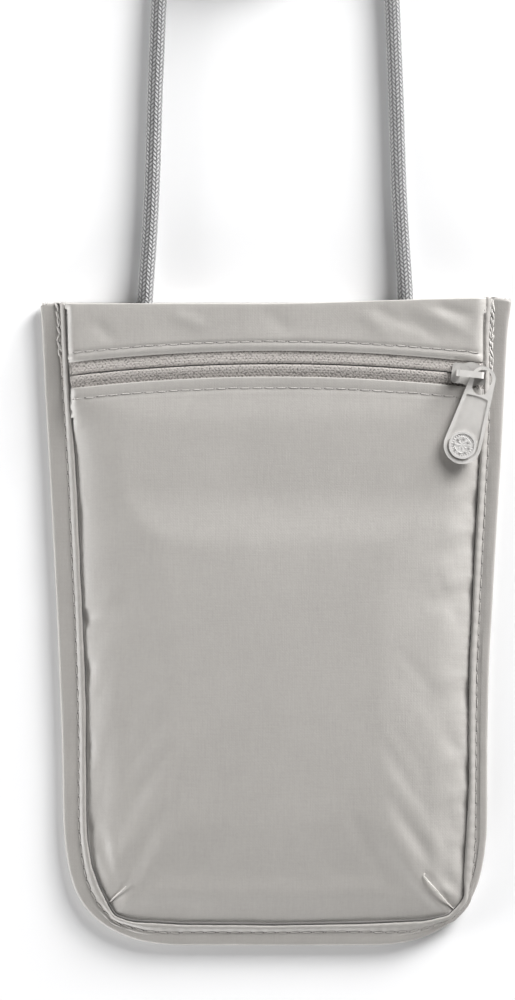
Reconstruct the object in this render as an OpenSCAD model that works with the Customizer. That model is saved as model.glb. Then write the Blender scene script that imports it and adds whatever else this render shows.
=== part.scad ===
// Neck pouch wallet lying on its back. A flat fabric pouch has a bound edge, an arched zip
// across the front near the top, and a round braided neck cord sewn into the top hem.
// Millimetres. X runs across the pouch, Y up its height and Z out of its front face.
// The origin is the middle of the pouch on the surface that it lies on.

/* [Pouch] */
// Height from bottom edge to top edge
pouch_h = 177.6; // [170:0.1:184]
// Width just above the rounded bottom corners
low_w = 116.8; // [112:0.1:120]
// How far each side leans outwards towards the top, in degrees
side_lean = 2.5; // [2:0.1:3]
// Radius of the bottom corners
corner_r = 26.8; // [24:0.1:28]
// Height of the front face above the surface it lies on
front_z = 7; // [6.9:0.1:7.1]
// Thickness of the front and back fabric with its backing
fabric_t = 0.8; // [0.6:0.1:0.8]
// Thickness of the shielding lining
lining_t = 0.3; // [0.2:0.1:0.4]
// How far the front wall leans in between the seam and the front face
wall_lean = 2; // [1.6:0.1:2.2]

/* [Edge binding] */
// Width of the binding tape on each face
bind_w = 6.4; // [6:0.1:6.8]
// Thickness of the binding tape
bind_t = 0.6; // [0.5:0.1:0.7]
// Height of the binding's back face above the surface
bind_z = 0.4; // [0.3:0.1:0.5]
// Width of the rolled inner edge of the binding
lip_w = 1.8; // [1.4:0.1:2]
// Height of the rolled inner edge
lip_h = 1; // [0.6:0.1:1.2]
// Distance from the pouch edge to the binding's seam
seam_in = 4.1; // [3.8:0.1:4.2]

/* [Zip] */
// Radius of the zip's arc
zip_r = 490.6; // [480:0.1:520]
// Height of the middle of the zip above the pouch's middle
zip_y = 71.6; // [68:0.1:73]
// Gap between the two halves of the zip
zip_gap = 0.9; // [0.9:0.1:1.1]
// Width of one zip tape
tape_w = 7.6; // [7:0.1:8]
// Thickness of a zip tape
tape_t = 0.6; // [0.5:0.1:0.6]
// Width of one coil
coil_w = 2.1; // [1.6:0.1:2.4]
// Height of a coil
coil_h = 1.3; // [1.1:0.1:1.3]
// Distance from the zip's line to the fabric edge above it
slot_up = 3.8; // [3.8:0.1:4.2]
// Distance from the zip's line to the fabric edge below it
slot_down = 3.7; // [3.7:0.1:4]
// Distance from the zip's line to the seam on either side
zip_seam = 6.2; // [5.6:0.1:6.4]

/* [Slider and pull] */
// Distance of the closed slider to the right of the pouch's middle
slider_x = 53.1; // [50:0.1:53.1]
// Length of the slider along the zip
slider_l = 9.4; // [9:0.1:9.4]
// Width of the slider's shoulders across the zip
slider_w = 6.8; // [6.2:0.1:6.8]
// Width of the slider's tail
tail_w = 5.6; // [5:0.1:5.8]
// Thickness of the slider's front and back plates
plate_t = 1.1; // [0.9:0.1:1.1]
// Thickness of the slider's web between the zip halves
web_t = 0.3; // [0.3:0.1:0.3]
// Length of the bridge bar
bridge_l = 7.6; // [7.4:0.1:7.8]
// Width of the bridge bar
bridge_w = 1.8; // [1.6:0.1:1.8]
// Thickness of the bridge bar
bridge_t = 1.1; // [0.9:0.1:1.3]
// Distance from the pull's eye to its medallion
pull_l = 19; // [17:0.1:21]
// Tilt of the pull from straight down, in degrees
pull_tilt = 17.3; // [10:0.1:24]
// Thickness of the pull
pull_t = 1.2; // [1:0.1:1.2]
// Radius of the pull's outline around the eye
eye_r = 3.45; // [3.4:0.05:3.6]
// Radius of the eye's hole
eye_hole_r = 2.55; // [2.5:0.05:2.6]
// Radius of the pull's outline around the medallion
foot_r = 5.2; // [4.9:0.1:5.6]
// Radius of the medallion
medal_r = 3.8; // [3.4:0.1:4]

/* [Thread] */
// Distance from one stitch to the next
stitch_pitch = 3.2; // [3:0.1:4]
// Length of one stitch
stitch_l = 2.4; // [2:0.1:2.6]
// Width of the thread
thread_w = 0.44; // [0.4:0.02:0.5]
// Height of the thread above the fabric
thread_h = 0.25; // [0.2:0.05:0.25]

/* [Neck cord] */
// Diameter of the cord
cord_d = 4.4; // [4:0.1:4.4]
// Radius of the cord's resting coil, to the middle of its turns
coil_mid_r = 23.6; // [22:0.1:25]
// Distance of the resting coil's middle above the pouch's middle
coil_y = 213; // [211:0.5:215]

/* [Hidden] */

fabric_colour = [0.72, 0.71, 0.68];
binding_colour = [0.69, 0.68, 0.65];
lining_colour = [0.55, 0.56, 0.58];
zip_colour = [0.62, 0.61, 0.58];
metal_colour = [0.80, 0.79, 0.77];
thread_colour = [0.64, 0.63, 0.60];
cord_colour = [0.52, 0.52, 0.52];

// Hidden overlap that makes two solids one, and reach past a face that a cut goes through
lap = 0.01;
past = 1;
far = 200;

// Heights, from the surface upwards
top_y = pouch_h / 2;
seam_z = bind_z + bind_t;
front_seam_z = seam_z + fabric_t;
bind_top_z = front_seam_z + fabric_t;
front_under_z = front_z - fabric_t;
tape_z = front_under_z - tape_t;
coil_z = tape_z - coil_h;

// Insets from the pouch's edge: inside of the binding's fold, and foot of the front wall
fold_in = 0.8;
foot_in = bind_w + 0.2;

// Clearance between parts that move past each other
gap = 0.3;
plate_z = front_under_z + gap;
back_plate_z = coil_z - gap - plate_t;
pull_z = plate_z + plate_t + 0.4;
bridge_z = pull_z + pull_t + gap;

corner_x = low_w / 2 - corner_r;
corner_y = corner_r - top_y;
corner_step = 6;

// Zip: distance of the arc's centre below the pouch's middle, and half angles of its pieces
arc_y = zip_y - zip_r;
tape_end_x = side_x(zip_y) - foot_in;
coil_end_x = tape_end_x - 2.4;
stop_gap = 0.3;
stop_l = 0.7;
coil_angle = asin(coil_end_x / zip_r);
slider_angle = asin(slider_x / zip_r);
seam_angle = asin((tape_end_x - 3.6) / zip_r);
end_tab_t = 0.6;
tape_wall_in = foot_in + 3.2;

// Lining edges
lining_in = foot_in + 4;
back_lining_top = 14;
front_lining_top = 31;

// Slider and pull, in the frame of the slider's middle with X along the zip
slider_corner = 1.1;
shoulder_x = 0.6;
back_plate_l = 6.4;
web_l = 3;
bridge_leg_l = 1.2;
bridge_round = 1;
bridge_turn = -6;
bridge_at = [53.45, 68.66];
eye_at = [57, 67.3];
eye_slot = 2.2;
eye_slot_r = 2.3;
rim_w = 0.9;
inlay_floor = 0.5;
inlay_t = 0.4;
inlay_top = 4.9;
medal_t = 0.5;
medal_rim_t = 0.2;
medal_rim_w = 0.6;
medal_dots = 8;
medal_dot_r = 0.35;
medal_dot_ring = 2;

// Threads
backtack_l = 14;
backtack_shift = 0.75;
binding_stop = 3;

// Cord: the left strand's route from its sewn end in the hem to the resting coil
cord_sides = 10;
cord_z = cord_d / 2;
hem_z = fabric_t + cord_z + 0.3;
hem_x = 35.9;
cord_route = [
    [-hem_x, 79.6, hem_z],
    [-hem_x, 88, hem_z],
    [-35.6, 95, hem_z - 0.2],
    [-35.1, 102, cord_z + 0.5],
    [-34.6, 110, cord_z],
    [-34, 122, cord_z],
    [-33.6, 134, cord_z],
    [-33.2, 147, cord_z],
    [-32.7, 159, cord_z],
    [-32.2, 171, cord_z],
    [-31.2, 184, cord_z],
    [-29.9, 196, cord_z],
    [-28.4, 207, cord_z]];
cord_route_right = [for (p = cord_route) [-p[0], p[1], p[2]]];
cord_hole_r = cord_z + 0.4;
anchor_fit = 0.05;
anchor_l = 6.5;
anchor_w = 8.4;
anchor_y = 79;
coil_section_w = 3 * cord_d;
coil_section_h = 2 * cord_d;
coil_round = 2;

round_steps = 48;
arc_steps = 360;

// Half the pouch's width at a height on its straight side
function side_x(y) = corner_x + corner_r * cos(side_lean)
    + (y - corner_y + corner_r * sin(side_lean)) * tan(side_lean);

// Right half of the outline, carried on above the top edge
side_foot_y = corner_y - corner_r * sin(side_lean);
beyond_y = top_y + far / 4;
half_outline = concat(
    [for (a = [-90:corner_step:-corner_step])
        [corner_x + corner_r * cos(a), corner_y + corner_r * sin(a)]],
    [[side_x(side_foot_y), side_foot_y], [side_x(beyond_y), beyond_y]]);
outline = concat(half_outline,
    [for (i = [len(half_outline) - 1:-1:0]) [-half_outline[i][0], half_outline[i][1]]]);

// Pouch outline moved inwards at the sides and bottom, and cut off at the top edge
module plan(inset, top_inset = 0) {
    intersection() {
        offset(delta = -inset)
            polygon(outline);
        translate([-far, -far])
            square([2 * far, far + top_y - top_inset]);
    }
}

// Plate with that outline, between two heights
module slab(inset, z0, z1, top_inset = 0) {
    translate([0, 0, z0])
        linear_extrude(z1 - z0)
            plan(inset, top_inset);
}

// U-shaped band round the sides and bottom, between two insets and two heights
module rim(outer, inner, z0, z1) {
    translate([0, 0, z0])
        linear_extrude(z1 - z0)
            difference() {
                plan(outer);
                plan(inner, -past);
            }
}

// Ring about the zip's centre, between two distances from the zip's line
module zip_ring(r0, r1, z0, z1) {
    translate([0, arc_y, z0])
        difference() {
            cylinder(h = z1 - z0, r = zip_r + r1, $fn = arc_steps);
            translate([0, 0, -past])
                cylinder(h = z1 - z0 + 2 * past, r = zip_r + r0, $fn = arc_steps);
        }
}

// Round of everything below a distance from the zip's line
module below_zip(r1) {
    translate([0, arc_y, -past])
        cylinder(h = front_z + 2 * past, r = zip_r + r1, $fn = arc_steps);
}

// Front wall of the whole pouch: a shallow tray, open at the back, with its seam allowance
module front_shell() {
    difference() {
        hull() {
            slab(foot_in, front_seam_z, front_seam_z + lap);
            slab(foot_in + wall_lean, front_z - lap, front_z, wall_lean);
        }
        hull() {
            slab(foot_in + fabric_t, front_seam_z - lap, front_seam_z, fabric_t);
            slab(foot_in + fabric_t + wall_lean, front_under_z - lap, front_under_z,
                fabric_t + wall_lean);
        }
    }
    rim(fold_in, foot_in + lap, front_seam_z, bind_top_z);
}

module back_panel() {
    color(fabric_colour) {
        slab(foot_in, 0, fabric_t);
        rim(foot_in, foot_in + fabric_t, 0, front_seam_z);
        rim(fold_in, foot_in + fabric_t, seam_z, front_seam_z);
    }
}

module back_lining() {
    color(lining_colour)
        slab(lining_in, fabric_t, fabric_t + lining_t, back_lining_top);
}

module front_panel() {
    color(fabric_colour)
        intersection() {
            front_shell();
            below_zip(-slot_down);
        }
}

module front_lining() {
    color(lining_colour)
        slab(lining_in, front_under_z - lining_t, front_under_z, front_lining_top);
}

module top_strip() {
    color(fabric_colour)
        difference() {
            union() {
                difference() {
                    front_shell();
                    below_zip(slot_up);
                }
                hem_wall();
            }
            for (x = [-hem_x, hem_x])
                translate([x, 0, hem_z])
                    rotate([-90, 0, 0])
                        cylinder(h = top_y + past, r = cord_hole_r, $fn = round_steps);
        }
}

// Turned-down top edge between the front wall and the back panel
module hem_wall() {
    translate([0, 0, fabric_t])
        linear_extrude(front_seam_z - fabric_t + lap)
            difference() {
                plan(foot_in + fabric_t);
                plan(foot_in + fabric_t - past, fabric_t);
            }
}

module binding_tape() {
    color(binding_colour) {
        rim(0, bind_w, bind_z, seam_z);
        rim(0, fold_in, bind_z, bind_top_z + bind_t);
        rim(0, bind_w, bind_top_z, bind_top_z + bind_t);
        rim(bind_w - lip_w, bind_w, bind_top_z, bind_top_z + bind_t + lip_h);
    }
}

// One zip tape: its visible band, its hidden margin, and its ends turned down into the seam
module zip_tape(edge, slot, margin) {
    r0 = min(edge, slot);
    r1 = max(edge, slot);
    intersection() {
        zip_ring(min(edge, margin), max(edge, margin), tape_z, front_under_z);
        union() {
            slab(tape_wall_in, tape_z, front_under_z);
            intersection() {
                slab(foot_in, tape_z, front_under_z);
                zip_ring(r0, r1, tape_z, front_under_z);
            }
        }
    }
    intersection() {
        zip_ring(r0, r1, front_seam_z, front_under_z);
        union() {
            rim(foot_in, foot_in + end_tab_t, front_seam_z, front_under_z);
            rim(fold_in, foot_in + end_tab_t, front_seam_z, bind_top_z);
        }
    }
}

module zip_tape_upper() {
    color(zip_colour)
        zip_tape(zip_gap / 2, slot_up, tape_w);
}

module zip_tape_lower() {
    color(zip_colour)
        zip_tape(-zip_gap / 2, -slot_down, -tape_w);
}

// One coil of the zip as a rounded strip on the back of its tape
module zip_coil(r0) {
    color(zip_colour)
        translate([0, arc_y, coil_z])
            rotate([0, 0, 90 - coil_angle])
                rotate_extrude(angle = 2 * coil_angle, $fn = arc_steps)
                    translate([zip_r + r0, 0])
                        square([coil_w, coil_h]);
}

module zip_coil_upper() {
    zip_coil(zip_gap / 2);
}

module zip_coil_lower() {
    zip_coil(-zip_gap / 2 - coil_w);
}

// Bar tack across the ends of the coils, which stops the slider
module zip_stop(side) {
    stop_w = zip_gap + 2 * coil_w;
    color(thread_colour)
        on_zip(side * coil_angle)
            translate([side * (stop_gap + stop_l / 2), 0, coil_z + coil_h / 2])
                cube([stop_l, stop_w, coil_h], center = true);
}

module zip_stop_left() {
    zip_stop(-1);
}

module zip_stop_right() {
    zip_stop(1);
}

// Puts a piece modelled about the origin at an angle round the zip's arc
module on_zip(angle) {
    translate([0, arc_y, 0])
        rotate([0, 0, -angle])
            translate([0, zip_r, 0])
                children();
}

module rounded_plate(l, w, r, z0, z1) {
    translate([0, 0, z0])
        linear_extrude(z1 - z0)
            offset(r = r, $fn = round_steps)
                square([l - 2 * r, w - 2 * r], center = true);
}

// Outline of the slider's front plate: a tail with rounder shoulders to its right
module slider_outline() {
    offset(r = slider_corner, $fn = round_steps)
        offset(delta = -slider_corner) {
            square([slider_l, tail_w], center = true);
            translate([shoulder_x, 0])
                circle(r = slider_w / 2, $fn = round_steps);
        }
}

module slider_body() {
    color(metal_colour)
        on_zip(slider_angle) {
            translate([0, 0, plate_z])
                linear_extrude(plate_t)
                    slider_outline();
            rounded_plate(back_plate_l, slider_w, slider_corner, back_plate_z,
                back_plate_z + plate_t);
            translate([-web_l / 2, -web_t / 2, back_plate_z + plate_t - lap])
                cube([web_l, web_t, plate_z - back_plate_z - plate_t + 2 * lap]);
        }
}

// Side view of the bridge: an arch with rounded shoulders, standing on the front plate
module bridge_profile() {
    leg_z = plate_z + plate_t;
    leg_h = bridge_z - leg_z;
    difference() {
        intersection() {
            translate([-bridge_l / 2, leg_z])
                square([bridge_l, leg_h + bridge_t]);
            translate([-bridge_l / 2 + bridge_round, leg_z - leg_h])
                offset(r = bridge_round, $fn = round_steps)
                    square([bridge_l - 2 * bridge_round, 2 * leg_h + bridge_t - bridge_round]);
        }
        translate([-bridge_l / 2 + bridge_leg_l, leg_z - past])
            square([bridge_l - 2 * bridge_leg_l, leg_h + past]);
    }
}

module slider_bridge() {
    color(metal_colour)
        translate([bridge_at[0], bridge_at[1], 0])
            rotate([0, 0, bridge_turn])
                translate([0, bridge_w / 2, 0])
                    rotate([90, 0, 0])
                        linear_extrude(bridge_w)
                            bridge_profile();
}

// Places the pull's pieces: eye at the origin, medallion below it, before tilting
module on_pull() {
    translate([eye_at[0], eye_at[1], 0])
        rotate([0, 0, -pull_tilt])
            children();
}

module pull_outline(inset) {
    hull() {
        circle(r = eye_r - inset, $fn = round_steps);
        translate([0, -pull_l])
            circle(r = foot_r - inset, $fn = round_steps);
    }
}

// Area inside the pull's raised rim, below the eye
module inlay_area() {
    intersection() {
        pull_outline(rim_w);
        translate([0, -pull_l])
            circle(r = pull_l - inlay_top, $fn = 2 * round_steps);
    }
}

module pull_frame() {
    color(metal_colour)
        on_pull()
            difference() {
                translate([0, 0, pull_z])
                    linear_extrude(pull_t)
                        pull_outline(0);
                translate([0, 0, pull_z - past]) {
                    cylinder(h = pull_t + 2 * past, r = eye_hole_r, $fn = round_steps);
                    translate([0, -eye_slot, 0])
                        cylinder(h = pull_t + 2 * past, r = eye_slot_r, $fn = round_steps);
                    translate([-eye_slot_r, -eye_slot, 0])
                        cube([2 * eye_slot_r, eye_slot, pull_t + 2 * past]);
                }
                translate([0, 0, pull_z + inlay_floor])
                    linear_extrude(pull_t)
                        inlay_area();
            }
}

module pull_inlay() {
    color(metal_colour)
        on_pull()
            translate([0, 0, pull_z + inlay_floor])
                linear_extrude(inlay_t)
                    inlay_area();
}

module pull_medallion() {
    base_z = pull_z + inlay_floor + inlay_t;
    color(metal_colour)
        on_pull()
            translate([0, -pull_l, base_z]) {
                cylinder(h = medal_t, r = medal_r, $fn = round_steps);
                translate([0, 0, medal_t - lap])
                    difference() {
                        cylinder(h = medal_rim_t, r = medal_r, $fn = round_steps);
                        translate([0, 0, -past])
                            cylinder(h = medal_rim_t + 2 * past,
                                r = medal_r - medal_rim_w, $fn = round_steps);
                    }
                for (i = [0:medal_dots - 1])
                    rotate([0, 0, i * 360 / medal_dots])
                        translate([medal_dot_ring, 0, medal_t - lap])
                            cylinder(h = medal_rim_t, r = medal_dot_r, $fn = 16);
            }
}

module stitch(z) {
    translate([-stitch_l / 2, -thread_w / 2, z])
        cube([stitch_l, thread_w, thread_h]);
}

module zip_thread(offset_r) {
    seam_r = zip_r + offset_r;
    step = stitch_pitch / seam_r * 180 / PI;
    count = floor(2 * seam_angle / step);
    color(thread_colour)
        translate([0, arc_y, 0])
            for (i = [0:count - 1])
                rotate([0, 0, (i - (count - 1) / 2) * step])
                    translate([0, seam_r, 0])
                        stitch(front_z);
}

module thread_zip_upper() {
    zip_thread(zip_seam);
}

module thread_zip_lower() {
    zip_thread(-zip_seam);
}

// Places a piece a distance s along the binding's seam, from the middle of the bottom edge
module on_seam(s, inset) {
    r = corner_r - inset;
    bend = r * (90 - side_lean) * PI / 180;
    turn = (s - corner_x) / r * 180 / PI;
    if (s < corner_x)
        translate([s, inset - top_y, 0])
            children();
    else if (s < corner_x + bend)
        translate([corner_x + r * sin(turn), corner_y - r * cos(turn), 0])
            rotate([0, 0, turn])
                children();
    else
        translate([
            corner_x + r * cos(side_lean) + (s - corner_x - bend) * sin(side_lean),
            corner_y - r * sin(side_lean) + (s - corner_x - bend) * cos(side_lean), 0])
            rotate([0, 0, 90 - side_lean])
                children();
}

function seam_length(inset) = corner_x + (corner_r - inset) * (90 - side_lean) * PI / 180
    + (top_y - corner_y) / cos(side_lean);

module binding_thread(z) {
    count = floor((seam_length(seam_in) - binding_stop) / stitch_pitch);
    color(thread_colour)
        for (side = [0, 1])
            mirror([side, 0, 0])
                for (i = [0:count - 1])
                    on_seam((i + 0.5) * stitch_pitch, seam_in)
                        stitch(z);
}

module thread_binding_front() {
    binding_thread(bind_top_z + bind_t);
}

module thread_binding_back() {
    binding_thread(bind_z - thread_h);
}

// Second row of stitches at the top end of the binding
module backtack(side) {
    inset = seam_in - backtack_shift;
    end_s = seam_length(inset) - binding_stop;
    count = floor(backtack_l / stitch_pitch);
    color(thread_colour)
        mirror([side, 0, 0])
            for (i = [0:count - 1])
                on_seam(end_s - (i + 0.5) * stitch_pitch, inset)
                    stitch(bind_top_z + bind_t);
}

module thread_backtack_left() {
    backtack(1);
}

module thread_backtack_right() {
    backtack(0);
}

// Stitched block of hem fabric that holds a cord end
module cord_anchor(side) {
    color(fabric_colour)
        difference() {
            translate([side * hem_x - anchor_w / 2, anchor_y, fabric_t])
                cube([anchor_w, anchor_l, front_under_z - fabric_t]);
            translate([side * hem_x, anchor_y - past, hem_z])
                rotate([-90, 0, 0])
                    cylinder(h = anchor_l + 2 * past, r = cord_z + anchor_fit, $fn = round_steps);
        }
}

module cord_anchor_left() {
    cord_anchor(-1);
}

module cord_anchor_right() {
    cord_anchor(1);
}

function unit(v) = v / norm(v);
function heading(p, i) = unit(p[min(i + 1, len(p) - 1)] - p[max(i - 1, 0)]);
function ring(p, i) =
    let (t = heading(p, i), u = unit(cross(t, [0, 0, 1])), w = cross(u, t))
    [for (k = [0:cord_sides - 1])
        p[i] + cord_z * (cos(360 * k / cord_sides) * u + sin(360 * k / cord_sides) * w)];

// Round cord swept along a route
module cord(p) {
    n = cord_sides;
    last = len(p) - 1;
    walls = [for (i = [0:last - 1])
        for (k = [0:n - 1])
            let (a = i * n + k, b = i * n + (k + 1) % n)
            each [[a, b, a + n], [b, b + n, a + n]]];
    color(cord_colour)
        polyhedron(
            points = [for (i = [0:last]) each ring(p, i)],
            faces = concat(
                [[for (k = [n - 1:-1:0]) k]],
                [[for (k = [0:n - 1]) last * n + k]],
                walls));
}

module neck_cord_left() {
    cord(cord_route);
}

module neck_cord_right() {
    cord(cord_route_right);
}

module neck_cord_coil() {
    color(cord_colour)
        translate([0, coil_y, 0])
            rotate_extrude($fn = 2 * round_steps)
                translate([coil_mid_r - coil_section_w / 2 + coil_round, coil_round])
                    offset(r = coil_round, $fn = 16)
                        square([coil_section_w - 2 * coil_round,
                            coil_section_h - 2 * coil_round]);
}

back_panel();
back_lining();
front_panel();
front_lining();
top_strip();
binding_tape();
zip_tape_upper();
zip_tape_lower();
zip_coil_upper();
zip_coil_lower();
zip_stop_left();
zip_stop_right();
slider_body();
slider_bridge();
pull_frame();
pull_inlay();
pull_medallion();
thread_zip_upper();
thread_zip_lower();
thread_binding_front();
thread_binding_back();
thread_backtack_left();
thread_backtack_right();
cord_anchor_left();
cord_anchor_right();
neck_cord_left();
neck_cord_right();
neck_cord_coil();
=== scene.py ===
"""Looks for the neck pouch wallet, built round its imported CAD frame. Lengths are in
millimetres in the code and become metres as each mesh is made."""

import math
import random

import bpy
import numpy as np
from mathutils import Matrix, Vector, noise


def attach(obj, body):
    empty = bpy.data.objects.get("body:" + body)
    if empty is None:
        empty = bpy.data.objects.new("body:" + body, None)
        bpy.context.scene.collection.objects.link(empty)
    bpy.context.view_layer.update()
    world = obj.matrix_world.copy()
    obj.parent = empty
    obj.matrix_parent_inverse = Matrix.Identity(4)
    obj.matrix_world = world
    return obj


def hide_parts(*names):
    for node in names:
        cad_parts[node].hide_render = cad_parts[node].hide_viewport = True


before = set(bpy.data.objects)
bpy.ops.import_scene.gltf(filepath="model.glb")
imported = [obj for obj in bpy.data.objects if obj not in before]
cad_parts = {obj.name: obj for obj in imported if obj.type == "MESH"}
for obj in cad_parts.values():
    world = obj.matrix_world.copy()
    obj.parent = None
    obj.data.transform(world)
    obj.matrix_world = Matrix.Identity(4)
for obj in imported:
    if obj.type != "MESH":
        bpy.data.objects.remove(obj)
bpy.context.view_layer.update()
scene = bpy.context.scene
MM = 0.001
TAU = 2 * math.pi

# ---------------------------------------------------------------- camera

VIEW_H = 275.0  # height of the view at the pouch's front, mm
VIEW_X, VIEW_Y = -4.95, 34.1  # middle of the view
FRONT_Z = 7.0
ZIP_R, ZIP_CY = 490.6, -419.0  # the zip's arc: radius, and its centre's y
CAM_FAR = 1500.0  # camera's height above the front

cam_data = bpy.data.cameras.new("camera")
cam = bpy.data.objects.new("camera", cam_data)
scene.collection.objects.link(cam)
cam_data.sensor_width = 36
cam_data.lens = 36 * CAM_FAR / VIEW_H
cam_data.clip_end = 20
cam.location = (VIEW_X * MM, VIEW_Y * MM, (CAM_FAR + FRONT_Z) * MM)
scene.camera = cam
scene.view_settings.view_transform = "Standard"
scene.view_settings.look = "None"


# ---------------------------------------------------------------- mesh helpers


def add_mesh(name, verts, faces, mat, smooth=True, uv=None):
    """A mesh object from millimetre points. uv gives (u, v) for each vertex."""
    mesh = bpy.data.meshes.new(name)
    pts = (np.asarray(verts, dtype=float) * MM).tolist()
    mesh.from_pydata(pts, [], [tuple(int(i) for i in f) for f in faces])
    mesh.validate()
    mesh.update()
    if smooth:
        mesh.shade_smooth()
    if uv is not None:
        layer = mesh.uv_layers.new(name="UVMap")
        idx = np.empty(len(mesh.loops), dtype=np.int32)
        mesh.loops.foreach_get("vertex_index", idx)
        layer.data.foreach_set("uv", np.asarray(uv, dtype=float)[idx].ravel())
    ob = bpy.data.objects.new(name, mesh)
    scene.collection.objects.link(ob)
    mesh.materials.append(mat)
    return ob


def grid_faces(rows, cols, wrap=False):
    """Quads of a grid of points, row after row. wrap joins the last column to the first."""
    out = []
    for i in range(rows - 1):
        for j in range(cols if wrap else cols - 1):
            a, b = i * cols + j, i * cols + (j + 1) % cols
            out.append((a, b, b + cols, a + cols))
    return out


def end_caps(rows, cols, sides=None):
    """The two end faces of a tube made by grid_faces. sides leaves out doubled columns."""
    ring = tuple(range(sides or cols))
    return [ring[::-1], tuple((rows - 1) * cols + k for k in ring)]


def add_part(verts, faces, part_verts, part_faces):
    """Adds one tube's points and faces to the lists of a piece made of many."""
    base = len(verts)
    verts.extend(part_verts.tolist())
    faces.extend(tuple(i + base for i in f) for f in part_faces)


def tangents(line):
    """Unit direction of travel at each point of a line."""
    t = np.gradient(line, axis=0)
    return t / np.linalg.norm(t, axis=1)[:, None]


def lengths_along(line):
    """Distance of each point from the line's start, measured along it."""
    return np.concatenate([[0], np.cumsum(np.linalg.norm(np.diff(line, axis=0), axis=1))])


def smoothstep(a, b, x):
    t = np.clip((np.asarray(x, dtype=float) - a) / (b - a), 0, 1)
    return t * t * (3 - 2 * t)


def noise_at(x, y, size, seed):
    """Smooth noise of about -1 to 1 with features of the given size in millimetres."""
    return noise.noise(Vector((x / size, y / size, seed)))


def noise_field(xs, ys, size, seed):
    """noise_at for whole arrays of points."""
    flat = [noise_at(x, y, size, seed) for x, y in zip(np.ravel(xs), np.ravel(ys))]
    return np.array(flat).reshape(np.shape(xs))


def tube(path, radius, sides):
    """Points and quads of a tube along a path, with closed ends."""
    p = np.asarray(path, dtype=float)
    n = len(p)
    r = np.broadcast_to(np.asarray(radius, dtype=float), (n,))
    t = tangents(p)
    u = np.cross(t, np.array([0, 0, 1.0]))
    u /= np.linalg.norm(u, axis=1)[:, None]
    w = np.cross(u, t)
    ang = np.arange(sides) * TAU / sides
    ring = np.cos(ang)[None, :, None] * u[:, None, :] + np.sin(ang)[None, :, None] * w[:, None, :]
    verts = (p[:, None, :] + r[:, None, None] * ring).reshape(-1, 3)
    return verts, grid_faces(n, sides, wrap=True) + end_caps(n, sides)


CURVE_STEPS = 16  # points that catmull makes between two given ones


def catmull(points, step):
    """A smooth line through the points, resampled at about one step apart."""
    p = np.asarray(points, dtype=float)
    p = np.vstack([2 * p[0] - p[1], p, 2 * p[-1] - p[-2]])
    out = []
    for i in range(1, len(p) - 2):
        a, b, c, d = p[i - 1], p[i], p[i + 1], p[i + 2]
        for t in np.linspace(0, 1, CURVE_STEPS, endpoint=False):
            out.append(0.5 * (2 * b + (c - a) * t + (2 * a - 5 * b + 4 * c - d) * t**2
                              + (3 * b - a - 3 * c + d) * t**3))
    out.append(p[-2])
    return resample(np.array(out), step)


def resample(line, step):
    """The same line with points at even distances of about one step."""
    s = lengths_along(line)
    n = max(2, int(round(s[-1] / step)) + 1)
    at = np.linspace(0, s[-1], n)
    return np.stack([np.interp(at, s, line[:, k]) for k in range(line.shape[1])], axis=1)


# ---------------------------------------------------------------- materials


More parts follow.
